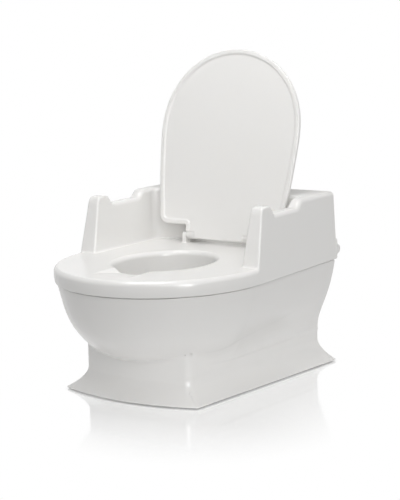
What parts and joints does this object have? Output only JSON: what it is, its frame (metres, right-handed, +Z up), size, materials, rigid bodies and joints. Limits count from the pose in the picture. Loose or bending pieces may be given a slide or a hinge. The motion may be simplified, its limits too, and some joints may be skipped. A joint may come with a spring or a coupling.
{
  "type": "potty training chair",
  "caption": "Child's potty shaped like a small toilet, with a tilting lid, stepped armrests, a lift-up seat shell, a removable pot and a flared pedestal base.",
  "frame": {"origin": "middle of the footprint box on the floor, with the lid open", "axes": "+Z up, -Y towards the front of the seat, +X to the right seen from the front with +Y going away"},
  "size_m": [0.2834, 0.381, 0.4305],
  "materials": {
    "base_plastic": "satin gloss moulded white",
    "seat_plastic": "satin gloss moulded white",
    "lid_plastic": "satin gloss moulded white, panel slightly matt",
    "pot_plastic": "gloss white",
    "pin_plastic": "natural white, matt",
    "foot_rubber": "soft grey rubber, matt"
  },
  "bodies": {
    "base": {"base_shell": "base_plastic", "hinge_pin_left": "pin_plastic", "hinge_pin_right": "pin_plastic", "foot_front_left": "foot_rubber", "foot_front_right": "foot_rubber", "foot_rear_left": "foot_rubber", "foot_rear_right": "foot_rubber"},
    "seat": {"seat_shell": "seat_plastic", "lid_pin_left": "pin_plastic", "lid_pin_right": "pin_plastic"},
    "lid": {"lid": "lid_plastic"},
    "pot": {"pot": "pot_plastic"}
  },
  "joints": [
    {"name": "seat_hinge", "type": "hinge", "parent": "base", "child": "seat", "pos_m": [0, 0.1845, 0.156], "axis": [-1, 0, 0], "range_deg": [0, 85]},
    {"name": "lid_hinge", "type": "hinge", "parent": "seat", "child": "lid", "pos_m": [0, 0.099, 0.1735], "axis": [1, 0, 0], "range_deg": [0, 103]},
    {"name": "pot_lift", "type": "slide", "parent": "base", "child": "pot", "axis": [0, 0, 1], "range_m": [0, 0.15]}
  ],
  "couplings": [
    {"joint": "pot_lift", "follows": "seat_hinge", "m_per_rad": 0.1}
  ]
}
